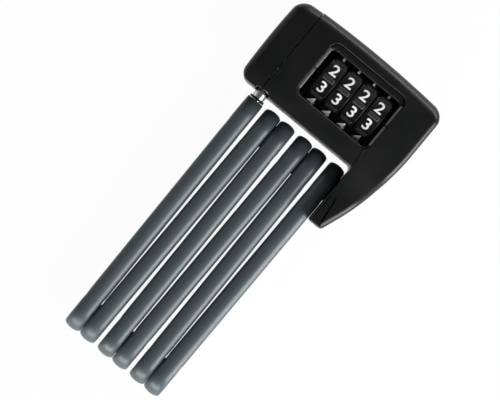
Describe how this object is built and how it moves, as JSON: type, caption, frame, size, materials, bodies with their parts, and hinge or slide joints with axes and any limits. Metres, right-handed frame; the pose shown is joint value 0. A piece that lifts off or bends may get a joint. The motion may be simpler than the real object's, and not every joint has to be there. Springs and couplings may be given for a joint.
{
  "type": "folding bicycle lock",
  "caption": "Folding bicycle lock: a combination head with a hinged zigzag of steel bars in soft covers and a chromed locking bolt.",
  "frame": {"origin": "bottom centre of the folded, closed lock lying on its back", "axes": "+X from the locking bolt to the hinge hook, +Y from the bars to the head, +Z out of the dial face"},
  "size_m": [0.087, 0.1904, 0.036],
  "materials": {
    "head_plastic": "black glass-filled plastic, satin with a fine moulded grain",
    "bezel_plastic": "black plastic, finer and slightly glossier than the head",
    "dial_plastic": "black plastic with white digits",
    "cover_rubber": "blue-grey soft rubber cover, matt",
    "bar_steel": "hardened steel bar, dull",
    "chrome": "bright chrome plate",
    "zinc_steel": "zinc-plated steel",
    "brass": "turned brass",
    "spring_steel": "blued spring steel"
  },
  "bodies": {
    "head": {"head_front_cover": "head_plastic", "head_back_cover": "head_plastic", "head_end_cap": "head_plastic", "window_bezel": "bezel_plastic", "lock_case": "zinc_steel", "hinge_cheek": "bar_steel", "socket_bush": "zinc_steel", "detent_spring": "spring_steel", "latch_spring": "spring_steel", "cover_screw_1": "zinc_steel", "cover_screw_2": "zinc_steel", "cover_screw_3": "zinc_steel", "cover_screw_4": "zinc_steel", "rivet_hook": "zinc_steel", "spacer_hook": "brass"},
    "dial_1": {"dial_1": "dial_plastic", "dial_sleeve_1": "brass"},
    "dial_2": {"dial_2": "dial_plastic", "dial_sleeve_2": "brass"},
    "dial_3": {"dial_3": "dial_plastic", "dial_sleeve_3": "brass"},
    "dial_4": {"dial_4": "dial_plastic", "dial_sleeve_4": "brass"},
    "latch": {"latch_bar": "zinc_steel", "code_spindle": "brass"},
    "reset_slider": {"code_reset_slider": "bezel_plastic"},
    "bar_6": {"bar_6_core": "bar_steel", "bar_6_cover": "cover_rubber", "rivet_5_6": "zinc_steel", "spacer_5_6": "brass"},
    "bar_5": {"bar_5_core": "bar_steel", "bar_5_cover": "cover_rubber", "rivet_4_5": "zinc_steel", "spacer_4_5": "brass"},
    "bar_4": {"bar_4_core": "bar_steel", "bar_4_cover": "cover_rubber", "rivet_3_4": "zinc_steel", "spacer_3_4": "brass"},
    "bar_3": {"bar_3_core": "bar_steel", "bar_3_cover": "cover_rubber", "rivet_2_3": "zinc_steel", "spacer_2_3": "brass"},
    "bar_2": {"bar_2_core": "bar_steel", "bar_2_cover": "cover_rubber", "rivet_1_2": "zinc_steel", "spacer_1_2": "brass"},
    "bar_1": {"bar_1_core": "bar_steel", "bar_1_cover": "cover_rubber", "locking_bolt": "chrome", "bolt_pin": "zinc_steel"}
  },
  "joints": [
    {"name": "dial_1_turn", "type": "hinge", "parent": "head", "child": "dial_1", "pos_m": [-0.00925, 0.0718, 0.019], "axis": [1, 0, 0], "continuous": true},
    {"name": "dial_2_turn", "type": "hinge", "parent": "head", "child": "dial_2", "pos_m": [-0.00018, 0.0718, 0.019], "axis": [1, 0, 0], "continuous": true},
    {"name": "dial_3_turn", "type": "hinge", "parent": "head", "child": "dial_3", "pos_m": [0.00889, 0.0718, 0.019], "axis": [1, 0, 0], "continuous": true},
    {"name": "dial_4_turn", "type": "hinge", "parent": "head", "child": "dial_4", "pos_m": [0.01795, 0.0718, 0.019], "axis": [1, 0, 0], "continuous": true},
    {"name": "latch_slide", "type": "slide", "parent": "head", "child": "latch", "axis": [-1, 0, 0], "range_m": [0, 0.0014], "deforming": ["latch_spring"]},
    {"name": "reset_slide", "type": "slide", "parent": "head", "child": "reset_slider", "axis": [1, 0, 0], "range_m": [0, 0.004]},
    {"name": "bar_6_fold", "type": "hinge", "parent": "head", "child": "bar_6", "pos_m": [0.025, 0.0334, 0.011], "axis": [1, 0, 0], "range_deg": [-80, 0]},
    {"name": "bar_5_fold", "type": "hinge", "parent": "bar_6", "child": "bar_5", "pos_m": [0.0152, -0.0842, 0.011], "axis": [1, 0, 0], "range_deg": [0, 240]},
    {"name": "bar_4_fold", "type": "hinge", "parent": "bar_5", "child": "bar_4", "pos_m": [0.0054, 0.0334, 0.011], "axis": [1, 0, 0], "range_deg": [-160, 0]},
    {"name": "bar_3_fold", "type": "hinge", "parent": "bar_4", "child": "bar_3", "pos_m": [-0.0044, -0.0842, 0.011], "axis": [1, 0, 0], "range_deg": [-160, 0]},
    {"name": "bar_2_fold", "type": "hinge", "parent": "bar_3", "child": "bar_2", "pos_m": [-0.0142, 0.0334, 0.011], "axis": [1, 0, 0], "range_deg": [0, 240]},
    {"name": "bar_1_fold", "type": "hinge", "parent": "bar_2", "child": "bar_1", "pos_m": [-0.024, -0.0842, 0.011], "axis": [1, 0, 0], "range_deg": [-80, 0]}
  ],
  "couplings": [
    {"joint": "bar_6_fold", "follows": "bar_5_fold", "ratio": -0.33333},
    {"joint": "bar_4_fold", "follows": "bar_5_fold", "ratio": -0.66667},
    {"joint": "bar_3_fold", "follows": "bar_5_fold", "ratio": -0.66667},
    {"joint": "bar_2_fold", "follows": "bar_5_fold", "ratio": 1},
    {"joint": "bar_1_fold", "follows": "bar_5_fold", "ratio": -0.33333}
  ]
}
